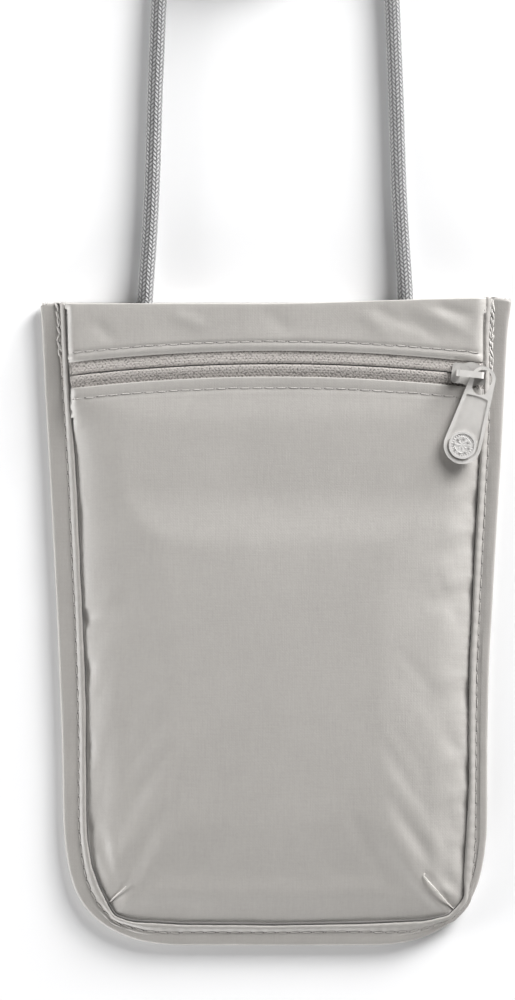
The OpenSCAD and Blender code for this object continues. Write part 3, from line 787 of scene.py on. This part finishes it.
def panel_points(step):
    """The panel as rows of points from the zip down, with the points outside its sewn
    edge drawn in onto it. Gives the points, which of them were outside, and the quads."""
    xs = np.arange(-60, 60 + step, step)
    rows = int(round((72 + 86) / step))
    gx = np.repeat(xs[None, :], rows, axis=0)
    zip_edge_y = ZIP_CY + np.sqrt((ZIP_R - SLOT_DOWN) ** 2 - xs**2)
    v = np.linspace(0, 1, rows)[:, None]
    gy = zip_edge_y[None, :] * (1 - v) + (-84.5) * v
    depth, at = inside_depth(tuck, gx, gy)
    out = depth < 0
    gx = np.where(out, tuck[at, 0], gx)
    gy = np.where(out, np.minimum(tuck[at, 1], gy), gy)
    gz = panel_height(gx, gy)
    gz = np.where(out, np.maximum(gz, SIDE_LOW), gz)
    flat = out.ravel()
    quads = [f for f in grid_faces(rows, len(xs)) if not all(flat[i] for i in f)]
    return np.stack([gx, gy, gz], axis=2), out, quads


SIM_STEP = 1.5
SIM_SCALE = 10  # cloth is simulated ten times too large, where the solver is steady
SIM_FRAMES = 20
SIM_CAP = 1.3  # furthest that a point may move, mm
SIM_SINK = 0.8  # and furthest down
CEILING_SOFT = 0.12


def gathered(step):
    """How far cloth simulation moves the panel's points, on a coarse grid. The band next
    to the sewn edge is cut a little too long for its seam, so it puckers there."""
    pts, out, quads = panel_points(step)
    flat = pts.reshape(-1, 3)
    _, first, back = np.unique(np.round(flat, 2), axis=0, return_index=True,
                               return_inverse=True)
    back = back.ravel()
    faces = []
    for f in quads:
        g = list(dict.fromkeys(int(back[i]) for i in f))
        if len(g) > 2:
            faces.append(g[::-1])
    mesh = bpy.data.meshes.new("sim")
    mesh.from_pydata((flat[first] * MM * SIM_SCALE).tolist(), [], faces)
    ob = bpy.data.objects.new("sim", mesh)
    scene.collection.objects.link(ob)
    depth, _ = inside_depth(lip_edge, flat[first, 0], flat[first, 1])
    below = -SLOT_DOWN - from_zip(flat[first, 0], flat[first, 1])
    pin = ob.vertex_groups.new(name="pin")
    loose = ob.vertex_groups.new(name="loose")
    for i in range(len(first)):
        if out.ravel()[first[i]] or depth[i] < 0.4 or below[i] < 5:
            pin.add([i], 1.0, "REPLACE")
        loose.add([i], float(1 - smoothstep(2, 13, depth[i])), "REPLACE")
    mod = ob.modifiers.new("cloth", "CLOTH")
    c = mod.settings
    c.quality = 6
    c.mass = 0.2
    c.tension_stiffness = c.compression_stiffness = 25
    c.shear_stiffness = 12
    c.bending_stiffness = 0.08
    c.air_damping = 2.5
    c.vertex_group_mass = "pin"
    c.effector_weights.gravity = 0
    c.use_pressure = True
    c.uniform_pressure_force = 0.6
    c.vertex_group_shrink = "loose"
    c.shrink_min = 0.0
    c.shrink_max = -0.035
    mod.point_cache.frame_start, mod.point_cache.frame_end = 1, SIM_FRAMES
    for f in range(1, SIM_FRAMES + 1):
        scene.frame_set(f)
    got = ob.evaluated_get(bpy.context.evaluated_depsgraph_get()).to_mesh()
    co = np.empty(len(got.vertices) * 3)
    got.vertices.foreach_get("co", co)
    moved = co.reshape(-1, 3) / MM / SIM_SCALE - flat[first]
    bpy.data.objects.remove(ob)
    scene.frame_set(1)
    far = np.linalg.norm(moved, axis=1)
    moved *= np.minimum(1, SIM_CAP / np.maximum(far, 1e-6))[:, None]
    moved[:, 2] = np.maximum(moved[:, 2], -SIM_SINK)
    return moved[back].reshape(pts.shape)


def spread(field, rows, cols):
    """The field on a finer grid, blurred slightly so that no facets show."""
    u = np.linspace(0, field.shape[0] - 1, rows)
    v = np.linspace(0, field.shape[1] - 1, cols)
    out = np.empty((rows, cols, 3))
    for k in range(3):
        mid = np.array([np.interp(u, np.arange(field.shape[0]), field[:, j, k])
                        for j in range(field.shape[1])]).T
        out[:, :, k] = np.array([np.interp(v, np.arange(field.shape[1]), row) for row in mid])
    kern = np.array([1, 4, 6, 4, 1]) / 16
    for axis in (0, 1):
        out = np.apply_along_axis(lambda a: np.convolve(np.pad(a, 2, "edge"), kern, "valid"),
                                  axis, out)
    return out


grid, out, quads = panel_points(PANEL_STEP)
moved = gathered(SIM_STEP)
grid = grid + np.where(out[:, :, None], 0, spread(moved, *grid.shape[:2]))
# Under the swinging pull the cloth stays low: a soft ceiling that lifts further down
ceiling = PULL_CLEAR + 2.4 * (1 - smoothstep(14, 38, grid[:, :, 1]))
over = (grid[:, :, 2] - ceiling) / CEILING_SOFT
grid[:, :, 2] = ceiling - CEILING_SOFT * np.log1p(np.exp(-over))
# The zip edge is folded under: two extra rows turn down and back
top = grid[0]
n_col = grid.shape[1]
fold = [top + np.array([0, dy, dz])
        for dy, dz in ((-0.8, -0.85), (0.12, -0.7), (0.2, -0.4), (0.16, -0.12), (0.05, -0.03))]
fold.append(0.72 * top + 0.28 * grid[1])
grid[0] = fold.pop()
rows = np.concatenate([np.array(fold), grid], axis=0)
k = len(fold) * n_col
in_fold = [f for f in grid_faces(len(fold) + 1, n_col) if not all(out[0][i % n_col] for i in f)]
quads = in_fold + [tuple(i + k for i in f) for f in quads]
panel = add_mesh("front_panel_cloth", rows.reshape(-1, 3), [f[::-1] for f in quads], mat_panel)
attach(panel, "pouch")
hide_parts("front_panel")

# Painted shade in the seam: a thin dark tube along the lip's inner edge, no real piece, a thin
# dark line from above
SHADE_LINE_R = 0.3
TRIM = slice(3, -3)  # it stops short of the binding's two ends
bottom_dark = np.clip(edge_n[:, 1], 0, 1) ** 2
crevice = inset_line(edge_w + 0.06 + 0.2 * bottom_dark)[TRIM]
bottom_dark = bottom_dark[TRIM]
side_dark = np.clip(-edge_n[TRIM, 0], 0, 1)  # on the right the lip shades it already
crevice_z = np.minimum(panel_height(crevice[:, 0], crevice[:, 1]),
                       SIDE_LOW + 4.0 * float(side_rise(0.06))) + 0.05 + 0.3 * bottom_dark
crevice_r = SHADE_LINE_R - 0.14 * side_dark + 0.08 * bottom_dark
crevice_r *= 1 + 0.25 * wave_fine[TRIM] + 0.2 * wave_along[TRIM]
# it thins out low on one side, and beside the zip
crevice_r *= 1 - 0.5 * side_dark * smoothstep(-14, -34, crevice[:, 1])
crevice_r *= 1 - 0.45 * smoothstep(60, 68, crevice[:, 1])
crevice_r *= 1 - 0.5 * smoothstep(46, 56, crevice[:, 1]) * (crevice[:, 0] < 0)
verts, faces = tube(np.column_stack([crevice, crevice_z]), crevice_r, 6)
ob = add_mesh("panel_seam_painted_shade", verts, faces, mat_crevice_shade)
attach(ob, "pouch")

# ---------------------------------------------------------------- top strip

STRIP_ROWS = 30
HEM_FRONT_Z = 6.5
# The hem's fold: how far out from the top edge, and how far down to the back from 0 to 1
HEM_ROLL = [(0.1, 0.0), (0.24, 0.02), (0.4, 0.14), (0.44, 0.35), (0.44, 0.55), (0.44, 0.75),
            (0.4, 0.88), (0.3, 0.96), (0.1, 1.0)]


def top_edge_y(x):
    """The hem's fold, which rises towards the right."""
    return 87.85 + 1.55 * smoothstep(-5, 62, x)


sx = np.arange(-60, 60.01, 0.8)
low = ZIP_CY + np.sqrt((ZIP_R + SLOT_UP) ** 2 - sx**2)
high = top_edge_y(sx)
# Diagonal pulls where the cord is sewn in, mostly on the right
STRIP_CREASES = [((33, 87), (47, 77), 2.0, -0.36), ((38, 88), (55, 79), 1.7, 0.32),
                 ((43, 88), (56, 84), 1.5, -0.3), ((22, 87), (33, 78), 2, 0.26),
                 ((26, 88), (40, 80), 1.6, -0.22), ((-50, 84), (-44, 77), 2, -0.35),
                 ((-30, 86), (-18, 81), 2, 0.3), ((-4, 87), (6, 79), 2.4, -0.2)]


def strip_height(x, y, t):
    above = from_zip(x, y) - SLOT_UP
    z = 6.8 - 0.15 * smoothstep(0.1, 0.6, t)
    z += (HEM_FRONT_Z - 6.6) * smoothstep(0.95, 1.02, t)
    depth, _ = inside_depth(lip_edge, x, y)
    z += sum(crease(x, y, a, b, w, k) for a, b, w, k in STRIP_CREASES)
    z = SIDE_LOW + (z - SIDE_LOW) * side_rise(depth)
    z -= 0.25 * np.exp(-((above - 2.3) / 0.5) ** 2)
    z -= 0.3 * np.exp(-(np.clip(above, 0, None) / 0.45) ** 2)
    z += 0.14 * noise_field(x, y, 22, 8.8) + 0.06 * noise_field(x, y, 8, 2.4)
    return z


t = np.linspace(0, 1, STRIP_ROWS)[:, None]
tx = np.repeat(sx[None, :], STRIP_ROWS, axis=0)
ty = low[None, :] * (1 - t) + high[None, :] * t
sd, sat = inside_depth(tuck, tx, ty)
tx = np.where(sd < 0, tuck[sat, 0], tx)
tz = strip_height(tx, ty, np.repeat(t, len(sx), axis=1))
srows = [np.stack([tx, ty, tz], axis=2)]
first, last = srows[0][0], srows[0][-1]
under = [first + np.array([0, dy, dz]) for dy, dz in ((0.7, -0.78), (-0.1, -0.6), (-0.25, -0.26))]
# the hem rolls over the top edge and down to the back
z_end = last[:, 2]
roll = []
for out_by, down in HEM_ROLL:
    p = last.copy()
    p[:, 1] = last[:, 1] + out_by
    p[:, 2] = z_end - (z_end - 0.35) * down
    roll.append(p)
srows = np.concatenate([np.array(under), srows[0], np.array(roll)], axis=0)
strip = add_mesh("top_strip_cloth", srows.reshape(-1, 3), grid_faces(*srows.shape[:2]), mat_strip)
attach(strip, "pouch")
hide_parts("top_strip")

# ---------------------------------------------------------------- back panel and linings

back_edge = inset_line(edge_w - 0.8)


def flat_sheet(name, mat, line, y_top, z_of, step, node):
    """A sheet inside an outline, up to a height y_top."""
    x = np.arange(-62, 62 + step, step)
    y = np.arange(-88, y_top + step, step)
    gx, gy = np.meshgrid(x, np.minimum(y, y_top))
    d, at = inside_depth(line, gx, gy)
    out = (d < 0) & (gy < y_top + 1)
    gx = np.where(out, line[at, 0], gx)
    gy = np.where(out, np.minimum(line[at, 1], y_top), gy)
    gz = z_of(gx, gy)
    quads = [f for f in grid_faces(*gx.shape) if not all(out.ravel()[i] for i in f)]
    ob = add_mesh(name, np.stack([gx, gy, gz], axis=2).reshape(-1, 3), quads, mat)
    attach(ob, "pouch")
    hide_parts(node)
    return ob


def back_z(x, y):
    d, _ = inside_depth(lip_edge, x, y)
    lift = 1.0 * np.exp(-np.clip(d, 0, None) / 1.2)
    top = 0.3 * smoothstep(84, 88.5, y)
    return 0.12 + lift + top + 0.05 * noise_field(x, y, 26, 4.4)


back = flat_sheet("back_panel_cloth", mat_back, back_edge, 88.6, back_z, 1.6, "back_panel")
thick = back.modifiers.new("thickness", "SOLIDIFY")
thick.thickness = 0.45 * MM
thick.offset = 1
lining_line = inset_line(edge_w + 4)
back_lining = flat_sheet("back_lining_cloth", mat_lining, lining_line, 74,
                         lambda x, y: 0.95 + 0.08 * noise_field(x, y, 18, 6.1), 2.4,
                         "back_lining")
front_lining = flat_sheet("front_lining_cloth", mat_lining, lining_line, 57,
                          lambda x, y: np.minimum(5.75, panel_height(x, y) - 1.5), 2.4,
                          "front_lining")

# ---------------------------------------------------------------- zip

TAPE_SLIT = 0.1  # half the gap between the tapes that shows
TAPE_LOW = 2.6  # the tapes' height under the binding


def arc_strip(name, profile, x_end, mat, step=0.6):
    """A closed section of (distance from the zip's line, height) run along the zip."""
    a_end = math.asin(x_end / ZIP_R)
    n = int(2 * x_end / step)
    prof = np.array(profile)
    ang = np.linspace(-a_end, a_end, n)
    r = ZIP_R + prof[:, 0]
    pts = np.empty((n, len(prof), 3))
    pts[:, :, 0] = np.sin(ang)[:, None] * r[None, :]
    pts[:, :, 1] = ZIP_CY + np.cos(ang)[:, None] * r[None, :]
    depth, _ = inside_depth(lip_edge, pts[:, :, 0], pts[:, :, 1])
    pts[:, :, 2] = TAPE_LOW + (prof[None, :, 1] - TAPE_LOW) * side_rise(depth)
    faces = grid_faces(n, len(prof), wrap=True) + end_caps(n, len(prof))
    return add_mesh(name, pts.reshape(-1, 3), faces, mat)


def tape_profile(side):
    """The tape is folded over its coil, so its edge at the slit is rounded."""
    top = [(7.4, 5.84), (4.4, 5.88), (3.4, 5.95), (2.4, 6.12), (1.5, 6.3), (0.9, 6.33),
           (0.45, 6.27), (0.22, 6.12), (TAPE_SLIT, 5.8), (0.45, 5.5), (1.1, 5.6), (7.4, 5.6)]
    return [(side * d, z) for d, z in (top if side > 0 else top[::-1])]


for side, word in ((1, "upper"), (-1, "lower")):
    tape = arc_strip(f"zip_tape_{word}_weave", tape_profile(side), 58.8, mat_zip)
    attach(tape, "pouch")
    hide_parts(f"zip_tape_{word}")

# ---------------------------------------------------------------- stitches

random.seed(7)
STITCH_SIDES = 6
THREAD_R = 0.15


def stitches(name, places, node, length=3.1, radius=THREAD_R, dip=0.15, flip=1, sway=0.06,
             mat=None):
    """One piece of many stitches. places are (x, y, z, heading) of each stitch's middle."""
    verts, faces, uvs = [], [], []
    for x, y, z, a in places:
        half = length * random.uniform(0.48, 0.51)
        a += random.uniform(-sway, sway)
        bow = random.uniform(-0.12, 0.12)
        ts = np.linspace(-1, 1, 9)
        off = bow * (1 - ts**2)
        path = np.stack([x + ts * half * math.cos(a) - off * math.sin(a),
                         y + ts * half * math.sin(a) + off * math.cos(a),
                         z - flip * dip * np.abs(ts) ** 4], axis=1)
        add_part(verts, faces, *tube(path, radius * (1 - 0.35 * np.abs(ts) ** 3), STITCH_SIDES))
        for t in ts:
            uvs.extend((1.5 * t, k / STITCH_SIDES) for k in range(STITCH_SIDES))
    ob = add_mesh(name, verts, faces, mat or mat_thread, uv=uvs)
    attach(ob, "pouch")
    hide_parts(node)


ZIP_STITCHES = 34


def zip_seam(offset, height):
    """Places along the zip, offset from its line, at the height that height(x, y) gives."""
    out = []
    r = ZIP_R + offset
    for i in range(ZIP_STITCHES):
        a = (i - (ZIP_STITCHES - 1) / 2) * STITCH_PITCH / r
        x, y = r * math.sin(a), ZIP_CY + r * math.cos(a)
        out.append((x, y, height(x, y), -a))
    return out


def panel_z(x, y):
    return float(panel_height(np.array([[x]]), np.array([[y]]))[0, 0])


def strip_z(x, y):
    lo_y = ZIP_CY + math.sqrt((ZIP_R + SLOT_UP) ** 2 - x * x)
    t_here = (y - lo_y) / (float(top_edge_y(np.array(x))) - lo_y)
    return float(strip_height(np.array([[x]]), np.array([[y]]), np.array([[t_here]]))[0, 0])


stitches("seam_above_zip", zip_seam(SLOT_UP + 2.3, lambda x, y: strip_z(x, y) + 0.09),
         "thread_zip_upper")
stitches("seam_below_zip",
         zip_seam(-SLOT_DOWN - 2.85, lambda x, y: panel_z(x, y) + 0.09), "thread_zip_lower")


def along_edge(shift, z, pitch, s0, s1):
    """Places along the binding's seam, moved in by shift, from s0 to s1 millimetres along
    it. A negative s1 counts back from the far end."""
    line = inset_line(edge_seam + shift)
    s = lengths_along(line)
    out = []
    for at in np.arange(s0 if s0 >= 0 else s[-1] + s0, s1 if s1 > 0 else s[-1] + s1, pitch):
        x, y = (float(np.interp(at, s, line[:, k])) for k in range(2))
        tx, ty = (float(np.interp(at, s, edge_t[:, k])) for k in range(2))
        out.append((x, y, z, math.atan2(ty, tx)))
    return out


stitches("seam_binding_front", along_edge(0, 3.22, STITCH_PITCH, 2.5, -2.0),
         "thread_binding_front")
stitches("seam_binding_back", along_edge(0, 0.33, STITCH_PITCH, 2.5, -2.0),
         "thread_binding_back", flip=-1)
# Sewing back and forth at both ends leaves a thick ragged row
for word, s0, s1 in (("left", 1.2, 14), ("right", -20, -1.2)):
    places = [(x, y, z + random.uniform(-0.05, 0.12), a + random.uniform(-0.25, 0.25))
              for row in range(4) for x, y, z, a in along_edge(-0.4 + 0.33 * row, 3.52, 2.1,
                                                               s0 + 0.5 * row, s1)]
    stitches(f"backtack_{word}_rows", places, f"thread_backtack_{word}", length=2.2,
             radius=0.25, dip=0.3, sway=0.25, mat=mat_tack)

# Darts: a narrow fold of the panel, sewn down, in a lighter copy of its nylon: a painted highlight
# along the fold
for word, line in (("left", DART_LEFT), ("right", DART_RIGHT)):
    path = catmull([(x, y, 0) for x, y in line], 0.5)
    z = panel_height(path[:, 0], path[:, 1])
    path[:, 2] = z + 0.07
    path[:, 0] += 0.07 * np.sin(np.arange(len(path)) * 1.9)
    verts, faces = tube(path, 0.17 * np.sin(np.linspace(0.6, 2.7, len(path))) + 0.05, 8)
    ob = add_mesh(f"dart_{word}", verts, faces, mat_dart_highlight)
    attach(ob, "pouch")

# Cut ends of the binding: loose threads that stick out of the weave
random.seed(21)
FRAY_COUNT = 46  # at each end
verts, faces = [], []
for x0, y0, x1, y1 in ((-64.6, 88.1, -57.9, 88.3), (57.9, 89.5, 65.0, 89.3)):
    for _ in range(FRAY_COUNT):
        k = random.random()
        x, y, z = x0 + (x1 - x0) * k, y0 + (y1 - y0) * k - 0.35, random.uniform(1.0, 3.2)
        lean, rise = random.uniform(-0.7, 0.7), random.uniform(0.35, 1.3)
        path = [(x, y, z), (x + 0.3 * lean, y + 0.5 * rise, z + random.uniform(-0.1, 0.2)),
                (x + lean, y + rise, z + random.uniform(-0.3, 0.4))]
        add_part(verts, faces, *tube(path, [0.09, 0.075, 0.04], 4))
fray = add_mesh("binding_frayed_ends", verts, faces, mat_tack, uv=[(0.0, 0.0)] * len(verts))
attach(fray, "pouch")

# ---------------------------------------------------------------- carried-over parts


def dress(node, mat, bevel=0.0, segments=2):
    """Gives a CAD node its material, and rounds its sharp edges by bevel millimetres."""
    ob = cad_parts[node]
    ob.data.materials.clear()
    ob.data.materials.append(mat)
    if bevel:
        mod = ob.modifiers.new("edge", "BEVEL")
        mod.width = bevel * MM
        mod.segments = segments
        mod.limit_method = "ANGLE"
        mod.angle_limit = math.radians(40)


dress("slider_body", mat_paint, 0.28, 3)
# painted highlight: the bridge and the pull's frame take the lighter rim paint
dress("slider_bridge", mat_rim_highlight, 0.3, 3)
dress("pull_frame", mat_rim_highlight, 0.34, 4)
dress("pull_inlay", mat_inlay)
dress("pull_medallion", mat_medal, 0.08, 2)
for name in ("zip_coil_upper", "zip_coil_lower"):
    dress(name, mat_coil, 0.25, 2)
for name in ("zip_stop_left", "zip_stop_right"):
    dress(name, mat_coil, 0.15, 2)
for name in ("cord_anchor_left", "cord_anchor_right"):
    dress(name, mat_back, 0.4, 2)

# ---------------------------------------------------------------- floor and light

FLOOR_TONE = 0.78  # the lights' levels are worked out for a floor of this reflectance
floor_mat = Nodes("pale_floor")
floor_pos = floor_mat.position()[0]
floor_mat.colour(floor_mat.ramp(floor_mat.noise(floor_pos, 0.02),
                                [(0.3, (0.805, 0.805, 0.81)), (0.7, (0.82, 0.82, 0.825))]))
floor_mat.bsdf.inputs["Roughness"].default_value = 0.9
floor = add_mesh("floor", [(-3000, -3000, -0.05), (3000, -3000, -0.05), (3000, 3000, -0.05),
                           (-3000, 3000, -0.05)], [(0, 1, 2, 3)], floor_mat.mat, smooth=False)


def disc_light(name, toward, elevation, distance, size, floor_level):
    """A disc aimed at the pouch, from degrees anticlockwise of +X and degrees above the
    floor. It alone would bring a floor of FLOOR_TONE to about floor_level."""
    data = bpy.data.lights.new(name, "AREA")
    data.shape = "DISK"
    data.size = size
    e, a = math.radians(elevation), math.radians(toward)
    data.energy = floor_level * math.pi**2 * distance**2 / FLOOR_TONE / math.sin(e)
    ob = bpy.data.objects.new(name, data)
    scene.collection.objects.link(ob)
    ray = Vector((math.cos(e) * math.cos(a), math.cos(e) * math.sin(a), math.sin(e)))
    ob.location = ray * distance
    ob.rotation_mode = "QUATERNION"
    ob.rotation_quaternion = (-ray).to_track_quat("-Z", "Y")


disc_light("key", 51, 24, 1.8, 1.1, 0.50)
disc_light("key_low", 48, 13, 1.8, 0.7, 0.20)
disc_light("fill_left", 187, 9, 1.2, 0.5, 0.13)
disc_light("fill_low", 252, 9, 1.2, 0.5, 0.11)
# The world is a light tent: bright round the sides and dim straight above
SKY_SIDE, SKY_TOP = 0.8, 0.04  # how much brighter the sides are, and the level overhead
world = bpy.data.worlds.new("studio")
sky = Nodes("studio", world)
split = sky.new("ShaderNodeSeparateXYZ")
sky.link(sky.new("ShaderNodeTexCoord").outputs["Generated"], split.inputs[0])
falloff = sky.math("POWER", sky.remap(split.outputs[2], 0.0, 1.0, 1.0, 0.0), 2.0)
background = sky.tree.nodes["Background"]
background.inputs["Color"].default_value = (1, 1, 1, 1)
sky.link(sky.math("MULTIPLY_ADD", falloff, SKY_SIDE, SKY_TOP), background.inputs["Strength"])
scene.world = world
